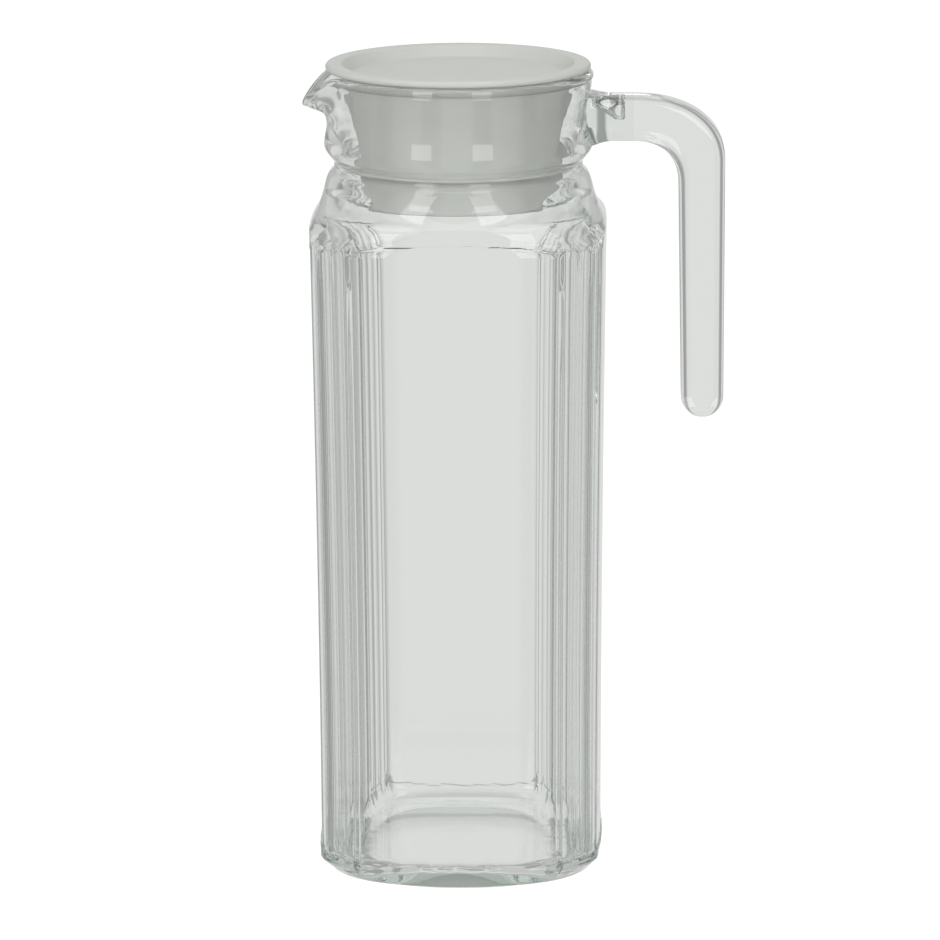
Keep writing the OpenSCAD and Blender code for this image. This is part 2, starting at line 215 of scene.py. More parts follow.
def body_columns():
    """For each column round the body: its place, its outward direction, how far the nearest groove is, the width of
    its cell, and how much of the panel's own wide groove it has."""
    places, outward, away, wide, main = [], [], [], [], []
    half = PANEL_W / 2 - GROOVE_REACH
    corners = [np.array([BODY_W / 2 - PANEL_BOW, PANEL_W / 2])]
    for j in range(CORNER_FACETS):
        corners.append(corners[-1] + FACET_L * heading(90 + EDGE_LEAN + FACET_TURN * (j + 1)))
    for y in np.linspace(-half, half, PANEL_COLUMNS + 2)[1:-1]:
        t = 2 * y / PANEL_W
        lean = math.atan(4 * PANEL_BOW * t / PANEL_W)
        places.append([BODY_W / 2 - PANEL_BOW * t * t, y])
        outward.append([math.cos(lean), math.sin(lean)])
        away.append(PANEL_W / 2 - abs(y))
        wide.append(PANEL_W / 2)
        main.append(1)
    for j, corner in enumerate(corners):
        before, after = (90 + EDGE_LEAN + FACET_TURN * (j + k) for k in (0, 1))
        for e in GROOVE_STEPS:
            along = heading(before if e < 0 else after)
            share = (e / GROOVE_REACH + 1) / 2
            places.append(corner + e * along)
            outward.append(heading(before - 90 + FACET_TURN * smooth(share)))
            away.append(abs(e))
            panel_side = (e < 0 and j == 0) or (e > 0 and j == CORNER_FACETS)
            wide.append(PANEL_W / 2 if panel_side else FACET_L / 2)
            main.append(1 if j in (0, CORNER_FACETS) else 0)
        if j < CORNER_FACETS:
            for e in np.linspace(GROOVE_REACH, FACET_L - GROOVE_REACH, FACET_COLUMNS + 2)[1:-1]:
                places.append(corner + e * heading(after))
                outward.append(heading(after - 90))
                away.append(min(e, FACET_L - e))
                wide.append(FACET_L / 2)
                main.append(0)
    places, outward = np.array(places), np.array(outward)
    turned = [np.array([[c, s], [-s, c]]) for c, s in ((1, 0), (0, 1), (-1, 0), (0, -1))]
    all_places = np.vstack([places @ t for t in turned])
    all_outward = np.vstack([outward @ t for t in turned])
    return all_places, all_outward, np.tile(away, 4), np.tile(wide, 4), np.tile(main, 4)


PLAIN, OUTWARD, GROOVE_AWAY, CELL_WIDE, MAIN_GROOVE = body_columns()
HEADINGS = np.degrees(np.arctan2(PLAIN[:, 1], PLAIN[:, 0]))
FRONT = int(np.argmin(np.abs(HEADINGS + 90)))
print(len(PLAIN), "columns of points round the body, facets", round(FACET_L, 2), "mm wide")

# %% [markdown]
# ## Rings of the jug, from the hollow under the foot to the floor inside
# The solids name a few dozen heights. The same heights are used here as the knots of a smooth curve: out along the
# underside, up the heel, the panels, the shoulder and the neck, over the rolled lip, and down the inside again.
# Each ring is a circle, a soft square or the outline of the panels, or something between two of them.

# %% Shapes of one ring
BODY_TAPER, SPOUT_OUT_TAPER, SPOUT_DROP_TAPER = 1.8, 1.5, 2.5


def mix(a, b, t):
    return a + (b - a) * t


def half_w(z):
    return mix(BASE_W / 2, BODY_W / 2, (max(z, 0) / PANELS_TOP_Z) ** BODY_TAPER)


def level(xy, z):
    return np.column_stack([xy, np.broadcast_to(z, len(xy))])


def unit_circle():
    return np.column_stack([np.cos(np.radians(HEADINGS)), np.sin(np.radians(HEADINGS))])


def circle_at(r, z):
    return level(unit_circle() * r, z)


def soft_square_at(half, squareness, z):
    c, s = np.abs(unit_circle()).T
    r = half / (c**squareness + s**squareness) ** (1 / squareness)
    return level(unit_circle() * r[:, None], z)


def panels_at(z):
    return level(PLAIN * (half_w(z) / (BODY_W / 2)), z)


def between(low, high, t, z):
    return level(mix(low[:, :2], high[:, :2], t), z)


def drawn(r, z, pull):
    """A ring of the neck, pulled out and down on the spout's side."""
    off = 180 - np.abs(HEADINGS)
    share = np.where(off < SPOUT_ANGLE, np.cos(np.radians(90 * off / SPOUT_ANGLE)), 0)
    share = np.clip(share, 0, 1)
    out = r + SPOUT_OUT * pull * share**SPOUT_OUT_TAPER
    return level(unit_circle() * out[:, None], z - SPOUT_DROP * pull * share**SPOUT_DROP_TAPER)


def root_share(z):
    return min(max((z - SPOUT_ROOT_Z) / SPOUT_ROOT_H, 0), 1)


print("the body's half width is", half_w(0), "mm at the foot and", half_w(PANELS_TOP_Z), "mm at the panels' tops")

# %% [markdown]
# ## The knots of the jug's curve
# The heel of the real jug swells softly from the flat ring that it stands on. On the shoulder the edges between the
# facets melt away within a few millimetres, because fire polishing rounds them, so the square there turns into a
# soft square before it turns into the circle of the neck.

# %% The outside, from the foot to the lip
HEEL_RISE, HEEL_FILL = (0, 0.06, 0.3, 0.65, 1), (0, 0.12, 0.36, 0.72, 1)
SHOULDER_RISE, SHOULDER_DRAW = (0, 0.13, 0.3, 0.48, 0.7, 1), (1, 0.97, 0.76, 0.46, 0.24, 0)
CREASE_FADE, CORNER_FIT = 0.28, 0.995


def outside_knots():
    rings = []
    kick_r = FOOT_W / 2 - FOOT_RING_W
    for s in (0.15, 0.4, 0.65, 0.85, 1):
        rings.append(circle_at(kick_r * s, KICK_H * (1 - s * s)))
    foot = soft_square_at(FOOT_W / 2, FOOT_SQUARENESS, 0)
    top = panels_at(HEEL_H)
    rings.append(between(circle_at(kick_r, 0), foot, 0.5, 0))
    for rise, fill in zip(HEEL_RISE, HEEL_FILL):
        rings.append(between(foot, top, fill, HEEL_H * rise))
    for s in (0.2, 0.38, 0.56, 0.72, 0.86, 0.97):
        rings.append(panels_at(PANELS_TOP_Z * s))
    low, high = panels_at(PANELS_TOP_Z), circle_at(NECK_R - RING_D / 4, NECK_FOOT_Z)
    corner_share = float(np.linalg.norm(PLAIN, axis=1).max()) / (BODY_W / 2) * CORNER_FIT
    soft = soft_square_at(half_w(PANELS_TOP_Z), 1 / (0.5 - math.log2(corner_share)), PANELS_TOP_Z)
    for rise, draw in zip(SHOULDER_RISE, SHOULDER_DRAW):
        base = between(low, soft, min(rise / CREASE_FADE, 1), PANELS_TOP_Z)
        rings.append(between(high, base, draw, PANELS_TOP_Z + SHOULDER_H * rise))
    for depth, rise in zip((0.55, 1, 1, 0.7, 0.35), (0.2, 0.36, 0.6, 0.76, 0.9)):
        rings.append(circle_at(NECK_R - RING_D * depth, NECK_FOOT_Z + RING_W * rise))
    rings.append(circle_at(NECK_R, NECK_FULL_Z))
    for s in (0.3, 0.48, 0.62, 0.76, 0.9):
        z = mix(NECK_FULL_Z, LIP_Z, s)
        r = NECK_R - NECK_WAIST * math.sin(math.pi * s)
        rings.append(drawn(r, z, smooth(root_share(z))))
    return rings


def lip_knots():
    pull = smooth(root_share(LIP_Z))
    rings = []
    for a in np.radians((-50, -15, 20, 55, 90, 120, 145)):
        r = LIP_R + (NECK_T / 2 + LIP_ROLL_R / 4) * math.cos(a)
        rings.append(drawn(r, LIP_Z + LIP_ROLL_R * math.sin(a), pull))
    return rings


knots = outside_knots()
outside_count = len(knots)
knots += lip_knots()
lip_end = len(knots)
print(lip_end, "knots on the outside and over the lip")

# %% [markdown]
# ## The hollow of the jug
# The plunger that presses the glass leaves a smooth hollow, a soft square that turns softly into the floor. It could
# be the outside moved in by the wall's thickness, but then the grooves would show twice. So it has knots of its own,
# and the same curve runs on over the lip and down to the middle of the floor.

# %% The inside, from the lip to the floor
def inside_knots():
    rings = []
    for s in (0.08, 0.25, 0.45, 0.65, 0.9):
        z = mix(LIP_Z, NECK_FULL_Z, s)
        rings.append(drawn(MOUTH_R, z, root_share(z) ** 1.5))
    for depth, rise in zip((0.15, 0.65, 1, 1, 0.45), (1, 0.8, 0.56, 0.4, 0.05)):
        rings.append(circle_at(MOUTH_R - RING_D * depth, NECK_FOOT_Z + RING_W * rise))

    def hollow(z):
        return soft_square_at(half_w(z) - WALL_T, INSIDE_SQUARENESS, z)

    high, low = circle_at(MOUTH_R - RING_D / 2, NECK_FOOT_Z), hollow(PANELS_TOP_Z)
    for drop, draw in zip((0.25, 0.5, 0.75, 1.15), (0.12, 0.4, 0.78, 1)):
        rings.append(between(high, low, draw, NECK_FOOT_Z - SHOULDER_H * drop))
    for s in (0.85, 0.7, 0.55, 0.4, 0.25):
        rings.append(hollow(PANELS_TOP_Z * s))
    for a in (0, 12, 25, 37, 48, 59, 70, 80, 90):
        t = math.radians(a)
        z = BASE_T + FLOOR_CURVE_H * (1 - math.sin(t))
        inset = FLOOR_CURVE_W * (1 - math.cos(t))
        squareness = mix(INSIDE_SQUARENESS, FLOOR_SQUARENESS, a / 90)
        rings.append(soft_square_at(half_w(z) - WALL_T - inset, squareness, z))
    for s in (0.8, 0.6, 0.4, 0.2, 0.05):
        rings.append(soft_square_at((half_w(BASE_T) - WALL_T - FLOOR_CURVE_W) * s, mix(2, FLOOR_SQUARENESS, s), BASE_T))
    return rings


knots = np.array(knots + inside_knots())
runs = np.linalg.norm(np.diff(knots[:, FRONT], axis=0), axis=1)
travel = np.concatenate([[0], np.cumsum(runs)])
print(len(knots), "knots along", round(float(travel[-1]), 1), "mm of section")

# %% [markdown]
# ## Panels, grooves and their rounded ends
# Each panel and facet is pressed a little deeper than the glass round it, with rounded corners, and the grooves run
# between them and fade out on the heel and the shoulder. They could be cut with booleans; moving the points of the
# rings in and out keeps the mesh clean, and the glass refracts without creases. The ends are a little wavy, as hot
# glass never fills a mould quite evenly.

# %% Panels and facets
CELL_SOFT, CELL_END_SHARP = 1.1, 2.4
CELL_FOOT_Z, CELL_TOP_Z = HEEL_H + 0.3, PANELS_TOP_Z + 2.2
CELL_ACROSS = 1 - GROOVE_AWAY / CELL_WIDE
ON_PANEL = CELL_WIDE > FACET_L
PANEL_ARCH, FACET_ARCH, FACET_SHORT, CELL_CORNER = 2.3, 1.0, 1.2, 2.6
CELL_ARCH = np.where(ON_PANEL, PANEL_ARCH, FACET_ARCH) * CELL_ACROSS**2 + np.where(ON_PANEL, 0, FACET_SHORT)
CELL_ARCH += CELL_CORNER * np.where(ON_PANEL, CELL_ACROSS**16, CELL_ACROSS**4)
RIPPLE = sum(np.sin(np.radians(HEADINGS) * turns + start) for turns, start in ((23, 0.6), (37, 2.1), (53, 4.4))) / 3
FOOT_RIPPLE, TOP_RIPPLE = 0.8, 0.4


def cell_depth(z):
    """1 inside a panel or a facet, 0 on the glass round it, for every column at one height."""
    middle, half = (CELL_FOOT_Z + CELL_TOP_Z) / 2, (CELL_TOP_Z - CELL_FOOT_Z) / 2
    ripple = (FOOT_RIPPLE if z < middle else TOP_RIPPLE) * RIPPLE
    past = (abs(z - middle) - half + CELL_ARCH + ripple) * CELL_END_SHARP
    return smooth(0.5 - past / CELL_SOFT)


print("cells end", round(float(CELL_ARCH.min()), 2), "to", round(float(CELL_ARCH.max()), 2), "mm short of their lines")

# %% [markdown]
# ## The grooves
# Each panel has a round groove at either side, which ends in a narrow pit where the mould's rib was deepest: it is
# the darkest spot of the real jug. Between two facets there is only a shallow vee. A dark line could be painted on
# instead, but it would stay dark from every side, while a real groove flashes as the jug turns.

# %% Grooves and pits
ROUND_SHARP, VEE_WIDE, VEE_BLUNT, VEE_SHARE = 1.6, 1.1, 0.15, 0.25
FOOT_FADE_Z, FOOT_FADE, TOP_FADE_OVER, TOP_FADE = 3.2, 3.2, 1.4, 2.4
DEEP_TOP_L, DEEP_TOP_TAPER, DEEP_FOOT_Z, DEEP_FOOT_TAPER = 16, 14, 24, 16
MIDDLE_SHARE, DEEP_SHARE = 0.75, 0.4
PIT_D, PIT_REACH, TOP_PIT_L, TOP_PIT_TAPER, HEEL_PIT_L, PIT_END = 1.1, 0.8, 17.0, 10.0, 6.0, 1.2


def pit_share(z, low, low_taper, high):
    return smooth((z - low) / low_taper) * smooth((high - z) / PIT_END)


def groove_depth(z):
    """How deep the grooves are at one height, for every column."""
    round_valley = np.sqrt(np.clip(1 - (ROUND_SHARP * GROOVE_AWAY / GROOVE_W) ** 2, 0, 1))
    vee_valley = np.clip(VEE_WIDE - 2 * np.hypot(GROOVE_AWAY, VEE_BLUNT) / GROOVE_W, 0, 1) * VEE_SHARE
    fade = smooth((z - FOOT_FADE_Z) / FOOT_FADE) * smooth((PANELS_TOP_Z + TOP_FADE_OVER - z) / TOP_FADE)
    deep_top = smooth((z - PANELS_TOP_Z + DEEP_TOP_L) / DEEP_TOP_TAPER)
    deep_foot = smooth((DEEP_FOOT_Z - z) / DEEP_FOOT_TAPER)
    top_pit = pit_share(z, PANELS_TOP_Z - TOP_PIT_L, TOP_PIT_TAPER, PANELS_TOP_Z - 0.5)
    heel_pit = pit_share(z, HEEL_H - 0.5, PIT_END, HEEL_H + HEEL_PIT_L)
    pit = np.where(MAIN_GROOVE == 1, np.clip(1 - GROOVE_AWAY / PIT_REACH, 0, 1), 0) * PIT_D
    pit *= max(top_pit, heel_pit)
    depth = GROOVE_D * (MIDDLE_SHARE + DEEP_SHARE * max(deep_top, deep_foot))
    return depth * np.where(MAIN_GROOVE == 1, round_valley, vee_valley) * fade + pit


print("the grooves are", round(float(groove_depth(100).max()), 2), "mm deep at half height, and",
      round(float(groove_depth(PANELS_TOP_Z - 4).max()), 2), "mm in a pit")

# %% [markdown]
# ## Where the rings lie
# The same number of rings all the way up would waste most of them on the plain wall. So the rings lie close together
# where the glass bends and where the pattern ends, and far apart where the wall is plain.

# %% Spacing of the rings
# Each pair is a height and the gap between rings up to it on the outside, or above it on the inside.
OUTSIDE_GAPS = ((0.01, 3.0), (5.6, 0.6), (12.2, 0.28), (14, 0.6), (180, 15), (193, 3), (204.5, 0.9), (211.2, 0.28),
                (240, 0.9), (252, 1.4))
INSIDE_GAPS = ((250, 0.7), (204, 1.1), (30, 12), (15, 2.5), (BASE_T + 0.05, 0.7))
UNDER_GAP, LIP_GAP, FLOOR_GAP = 2.2, 0.5, 4.0
FOOT_KNOT, SHOULDER_END_KNOT = 5, outside_count - 12


def ring_gap(z, outside):
    """How far apart neighbouring rings lie at a height."""
    if outside:
        for top, gap in OUTSIDE_GAPS:
            if z < top:
                return gap
        return LIP_GAP
    for low, gap in INSIDE_GAPS:
        if z > low:
            return gap
    return FLOOR_GAP


def ring_places():
    """Places along the section, close together where the glass bends."""
    lip_top = travel[lip_end - 2]
    z_of = knots[:, FRONT, 2]
    places, t = [], travel[0]
    while t < travel[-1]:
        places.append(t)
        z = float(np.interp(t, travel, z_of))
        under = t < travel[FOOT_KNOT]
        t += UNDER_GAP if under else ring_gap(z, t < lip_top)
    return np.array(places + [travel[-1]])


places = ring_places()
rings = flowing(travel, knots, places)
print(len(places), "rings along the section")

# %% [markdown]
# ## Pressing the pattern
# Now the points of each ring move along their own outward direction: out between the cells, and in at the grooves.
# Inside, the plunger left the glass a little uneven round the floor, which makes the base sparkle.

# %% Pressing the pattern into the rings
PATTERN_FOOT_Z, SHOULDER_SHARE, TOP_STEP_SHARE = 2.0, 0.9, 0.55
FLOOR_WAVES, FLOOR_WAVES_H, FLOOR_WAVES_FADE, FLOOR_EDGE_R, FLOOR_EDGE_FADE = 0.16, 6.0, 2.0, 33.0, 3.0


def wave_floor(ring):
    """Gives a ring of the hollow soft waves, where it nears the floor's edge."""
    z, r = ring[FRONT, 2], abs(ring[FRONT, 1])
    waves = FLOOR_WAVES * RIPPLE * smooth((r - FLOOR_EDGE_R) / FLOOR_EDGE_FADE)
    waves *= smooth((BASE_T + FLOOR_WAVES_H - z) / FLOOR_WAVES_FADE)
    ring[:, :2] -= unit_circle() * waves[:, None]
    ring[:, 2] += waves


pressed = 0
for i, t in enumerate(places):
    z = float(rings[i, FRONT, 2])
    if travel[FOOT_KNOT] < t < travel[SHOULDER_END_KNOT] and PATTERN_FOOT_Z < z < NECK_FOOT_Z:
        ends = smooth(z / HEEL_H) * smooth((NECK_FOOT_Z - z) / (SHOULDER_H * SHOULDER_SHARE))
        step = PANEL_STEP if z < PANELS_TOP_Z / 2 else PANEL_STEP * TOP_STEP_SHARE
        proud = step * ends * (1 - cell_depth(z)) - groove_depth(z)
        rings[i, :, :2] += OUTWARD * proud[:, None]
        pressed += 1
    if t > travel[lip_end] and z < BASE_T + FLOOR_WAVES_H:
        wave_floor(rings[i])
jug = skin("jug_glass_body", rings, (0, 0, KICK_H), (0, 0, BASE_T))
print(pressed, "of the rings have the pattern")
report(jug)

# %% [markdown]
# ## The section of the handle
# The stub on the neck and the bar of the handle have the same section: a block with full, round corners, as hot
# glass leaves it. A box with bevelled edges would have dead flat sides. A curve between a circle and a square keeps
# them slightly full, so they catch the light softly.

# %% Section of the handle
BAR_POINTS, BAR_SQUARENESS = 72, 5.0


def bar_section(inside, outside, width):
    """A ring of points between a point on the inside and one on the outside of the handle."""
    a = np.linspace(0, 2 * math.pi, BAR_POINTS, endpoint=False)
    c, s = np.cos(a), np.sin(a)
    across = np.sign(c) * np.abs(c) ** (2 / BAR_SQUARENESS)
    side = np.sign(s) * np.abs(s) ** (2 / BAR_SQUARENESS)
    inside, outside = np.asarray(inside, float), np.asarray(outside, float)
    p = (inside + outside) / 2 + across[:, None] * (outside - inside) / 2
    return np.column_stack([p[:, 0], side * width / 2, p[:, 1]])


print(BAR_POINTS, "points round each section of the handle")

# %% [markdown]
# ## The stub on the neck
# The neck has a short stub for the handle, made in the same pressing, so there is no surface between the two. A
# stub that only overlapped the neck would show as a lens inside the glass, so it is joined by a union, and it
# flares where it meets the neck.

# %% The stub, joined to the neck
STUB_START_X, STUB_PLAIN_L, FLARE_END = MOUTH_R + NECK_T / 4, 3.0, 7.2
FLARE, FLARE_BACK, FLARE_L, FLARE_CURVE, FLARE_TOP_SHARE = 1.5, 1.6, 8.0, 1.4, 0.55
ARM_MIDDLE_Z = (ARM_TOP_Z + ARM_LOW_Z) / 2


def join_by(target, other, operation):
    """Joins or cuts target with other, and removes other."""
    step = target.modifiers.new("join", "BOOLEAN")
    step.operation = operation
    step.solver = "EXACT"
    step.object = other
    solved = bpy.data.meshes.new_from_object(target.evaluated_get(bpy.context.evaluated_depsgraph_get()))
    target.modifiers.clear()
    target.data = solved
    bpy.data.objects.remove(other)


def stub_rings():
    flared = np.linspace(STUB_START_X, NECK_R + FLARE_END, 24)
    rings = []
    for x in np.concatenate([flared, [STUB_END_X - STUB_PLAIN_L, STUB_END_X]]):
        flare = FLARE * (1 - smooth((x - NECK_R + FLARE_BACK) / FLARE_L)) ** FLARE_CURVE
        low, high = (x, ARM_LOW_Z - flare), (x, ARM_TOP_Z + flare * FLARE_TOP_SHARE)
        rings.append(bar_section(low, high, HANDLE_W + 2 * flare))
    return rings


stub = skin("stub", stub_rings(), (STUB_START_X, 0, ARM_MIDDLE_Z), (STUB_END_X, 0, ARM_MIDDLE_Z))
join_by(jug, stub, "UNION")
report(jug)

# %% [markdown]
# ## The air pocket
# The hot glass closed over a small pocket of air near the top of the stub, which shows as a dark wedge. It is a
# hollow inside the glass, so it is cut out of the jug: a painted patch would not bend the light as the real one does.

# %% The air pocket in the stub
POCKET_Z, POCKET_START_X, POCKET_END_X = ARM_TOP_Z - 5.4, NECK_R - 0.9, STUB_END_X - 2.6
POCKET_LIFT, POCKET_LEVEL_RUN = 1.8, 0.7
# Each row is how far along the pocket it lies, and the pocket's half height and half width there.
POCKET_RUN = ((0, 0.25, 0.8), (0.1, 0.55, 1.4), (0.3, 0.75, 2.0), (0.5, 1.0, 2.4), (0.62, 1.5, 2.8), (0.72, 2.1, 3.1),
              (0.85, 2.3, 3.2), (0.96, 2.2, 3.1), (1.0, 1.7, 2.6))
pocket_rings = []
for run, half_tall, half_wide in POCKET_RUN:
    x = mix(POCKET_START_X, POCKET_END_X, run)
    z = POCKET_Z + mix(POCKET_LIFT, 0, smooth(run / POCKET_LEVEL_RUN))
    pocket_rings.append(bar_section((x, z - half_tall), (x, z + half_tall), 2 * half_wide))
pocket_ends = [(ring[:, 0].mean(), 0, ring[:, 2].mean()) for ring in (pocket_rings[0], pocket_rings[-1])]
pocket = skin("pocket", pocket_rings, *pocket_ends)
join_by(jug, pocket, "DIFFERENCE")
report(jug)

# %% [markdown]
# ## The handle
# The handle is a bar of glass pressed by itself and fused to the stub while hot. It leaves the neck level, bends
# down, and ends free, with a rounded tip. It could be a curve with a bevel, but its thickness changes along the way,
# so its inside and its outside are two curves, and each section of the bar spans from one to the other. A thin film
# of air at the joint keeps the two pieces of glass apart, as the dark line on the real one shows.

# %% The handle
BEND_STEPS, BAR_STEPS, END_STEPS = 44, 16, 14
OUTER_BEND_SQUARENESS, INNER_BEND_SQUARENESS = 2.2, 2.4
OUTER_BEND_Z, INNER_BEND_Z = ARM_TOP_Z - OUTER_BEND_H, ARM_LOW_Z - INNER_BEND_H
END_R = BAR_END_T / 2
END_Z = ARM_TOP_Z - HANDLE_DROP + END_R
JOINT_FILM, TIP_STOP, TIP_FULLNESS = 0.02, 0.3, 0.2


def bend_place(half_x, half_z, squareness, angle):
    c, s = max(math.cos(angle), 0), max(math.sin(angle), 0)
    return np.array([STUB_END_X + half_x * c ** (2 / squareness), half_z * s ** (2 / squareness)])


def handle_rings():
    rings = []
    for i in range(BEND_STEPS + 1):
        a = math.pi / 2 * (1 - i / BEND_STEPS)
        outside = bend_place(BAR_OUTER_X - STUB_END_X, OUTER_BEND_H, OUTER_BEND_SQUARENESS, a) + [0, OUTER_BEND_Z]
        inside = bend_place(BAR_INNER_X - STUB_END_X, INNER_BEND_H, INNER_BEND_SQUARENESS, a) + [0, INNER_BEND_Z]
        rings.append(bar_section(inside, outside, HANDLE_W))
    for i in range(1, BAR_STEPS + 1):
        t = i / BAR_STEPS
        inside = (mix(BAR_INNER_X, BAR_OUTER_X - BAR_END_T, t), mix(INNER_BEND_Z, END_Z, t))
        rings.append(bar_section(inside, (BAR_OUTER_X, mix(OUTER_BEND_Z, END_Z, t)), HANDLE_W))
    for i in range(1, END_STEPS + 1):
        a = math.pi / 2 * i / (END_STEPS + TIP_STOP)
        middle = np.array([BAR_OUTER_X - END_R, END_Z - END_R * math.sin(a)])
        half = np.array([END_R * math.cos(a), 0])
        rings.append(bar_section(middle - half, middle + half, HANDLE_W * math.cos(a) ** TIP_FULLNESS))
    rings = np.array(rings)
    rings[0, :, 0] += JOINT_FILM
    return rings


handle_start = (STUB_END_X + JOINT_FILM, 0, ARM_MIDDLE_Z)
handle_tip = (BAR_OUTER_X - END_R, 0, END_Z - END_R)
handle = skin("handle_bar", handle_rings(), handle_start, handle_tip)
report(handle)

# %% [markdown]
# ## The lid
# The lid is one plastic moulding, turned round the jug's axis apart from its pouring gap. A turned piece follows a
# rule, so Geometry Nodes make it: the tree takes the lid's half section as a chain of points, lays out a grid with
# one row for each of them, and bends the grid round the axis. A box then cuts the gap on the spout's side.

# %% The lid's half section
RIM_R, RIM_T, RIM_W, DISH_D, DISH_SAG = 42.0, 2.3, 5.9, 3.6, 1.4
LID_WALL_T, CUP_TOP_R, SKIRT_R, SKIRT_L = 1.6, 37.6, 32.6, 41.2
FIN_T, POUR_GAP_W, LID_GAP = 1.2, 27.4, 0.3
LID_SEAT_Z = JUG_H + LID_GAP
LID_TOP_Z = LID_SEAT_Z + RIM_T
DISH_R = RIM_R - RIM_W
DISH_Z = LID_TOP_Z - DISH_D
CUP_FOOT_Z = RING_Z + RING_W / 2
SKIRT_END_Z = LID_SEAT_Z - SKIRT_L
FIN_R = MOUTH_R - RING_D - LID_GAP
FIN_Z = RING_Z - FIN_T / 2
EDGE_R, FIN_ROOT, DISH_EDGE_W, CUP_CURVE = 0.35, 1.5, 4.0, 1.7


def arc(x, z, r, start, end, steps=14):
    return [(x + r * math.cos(a), z + r * math.sin(a)) for a in np.radians(np.linspace(start, end, steps))]


def cup_r(z):
    return mix(SKIRT_R, CUP_TOP_R, ((z - CUP_FOOT_Z) / (LID_SEAT_Z - CUP_FOOT_Z)) ** CUP_CURVE)


def lid_section():
    """The chain of points from the middle of the dish, over the rim, down the cup and skirt, and up the inside."""
    half_t, plate_z, fillet_r = RIM_T / 2, DISH_Z - LID_WALL_T, DISH_D / 2
    ceiling_r = cup_r(plate_z) - LID_WALL_T
    flat_r = DISH_R - DISH_EDGE_W
    points = [(r, DISH_Z - DISH_SAG * (1 - (r / flat_r) ** 2)) for r in np.linspace(0, flat_r, 9)]
    points += arc(DISH_R - 2 * fillet_r, DISH_Z + fillet_r, fillet_r, -80, -30)
    points += arc(DISH_R + fillet_r, LID_TOP_Z - fillet_r, fillet_r, 150, 90)
    points += arc(RIM_R - half_t, LID_SEAT_Z + half_t, half_t, 90, -90, 20)
    points += [(cup_r(z), z) for z in np.linspace(LID_SEAT_Z, CUP_FOOT_Z, 24)]
    points += [(SKIRT_R, FIN_Z + FIN_T + FIN_ROOT), (SKIRT_R, FIN_Z + FIN_T)]
    points += arc(FIN_R - FIN_T / 2, FIN_Z + FIN_T / 2, FIN_T / 2, 90, -90, 10)
    points += [(SKIRT_R, FIN_Z), (SKIRT_R, FIN_Z - FIN_ROOT)]
    points += arc(SKIRT_R - EDGE_R, SKIRT_END_Z + EDGE_R, EDGE_R, 0, -90, 5)
    points += arc(SKIRT_R - LID_WALL_T + EDGE_R, SKIRT_END_Z + EDGE_R, EDGE_R, -90, -180, 5)
    points += [(cup_r(z) - LID_WALL_T, z) for z in np.linspace(CUP_FOOT_Z, plate_z - fillet_r, 18)]
    points += arc(ceiling_r - fillet_r, plate_z - fillet_r, fillet_r, 0, 90, 8)
    for r in np.linspace(ceiling_r - fillet_r, 0, 8)[1:]:
        points.append((r, plate_z - DISH_SAG * (1 - (r / ceiling_r) ** 2)))
    return points


section_mesh = bpy.data.meshes.new("lid_section")
section_points = lid_section()
section_edges = [(i, i + 1) for i in range(len(section_points) - 1)]
section_mesh.from_pydata([(r * MM, 0, z * MM) for r, z in section_points], section_edges, [])
lid = bpy.data.objects.new("lid_moulding", section_mesh)
bpy.context.scene.collection.objects.link(lid)
print(len(section_points), "points on the lid's half section")

# %% [markdown]
# ## Node trees
# The glass, the plastic, the room and the lid's shape are all trees of nodes. They could be clicked together in the
# editor; written out, they can be read and changed. `node` adds a node with its settings and its inputs, which are
# values or the outputs of other nodes. `maths_for` does the same for steps of maths, and `blend` mixes two shaders.

# %% Helpers for node trees
def new_material(name):
    made = bpy.data.materials.new(name)
    made.use_nodes = True
    tree = made.node_tree
    tree.nodes.clear()
    return made, tree


def node(tree, kind, **values):
    """Adds a node. Each value goes to the input or setting of its name; an output of another node is linked."""
    made = tree.nodes.new(kind)
    for key, value in values.items():
        name = key.replace("_", " ")
        if name not in made.inputs:
            setattr(made, key, value)
        elif isinstance(value, bpy.types.NodeSocket):
            tree.links.new(value, made.inputs[name])
        else:
            made.inputs[name].default_value = value
    return made


def maths_for(tree):
    """A short way to add a Math node to a tree, from numbers and sockets alike."""

    def maths(operation, *given):
        made = node(tree, "ShaderNodeMath", operation=operation)
        for socket, value in zip(made.inputs, given):
            if isinstance(value, (int, float)):
                socket.default_value = value
            else:
                tree.links.new(value, socket)
        return made.outputs[0]

    return maths


def blend(tree, share, first, second):
    made = node(tree, "ShaderNodeMixShader", Fac=share)
    for shader, socket in ((first, made.inputs[1]), (second, made.inputs[2])):
        tree.links.new(shader.outputs[0], socket)
    return made


print("helpers: node, maths_for, blend")

# %% [markdown]
# ## Pressed glass
# Glass is a Principled shader with full transmission. Real pressed glass is never quite flat, so a faint bump in
# long waves is added. Soda-lime glass is faintly green, and more so the longer the way through it, so a volume takes
# up a little red light. Rays from the lamps pass straight through a Transparent shader, so that the lid inside the
# neck is lit; a path tracer would otherwise leave it in the dark. A ray that has been thrown back inside the glass
# three times goes straight on too, instead of ending as a black spot. A Glass shader alone would be simpler, but it
# gives none of these four.

# %% Glass
GLASS_IOR, LAMP_SHARE, TRAPPED_DIM, TRAPPED_TURNS = 1.51, 0.99, 0.86, 2.5
WAVES_UPRIGHT = (1, 1, 0.35)
DEPTH_COLOUR = (0.5, 0.62, 0.55, 1)


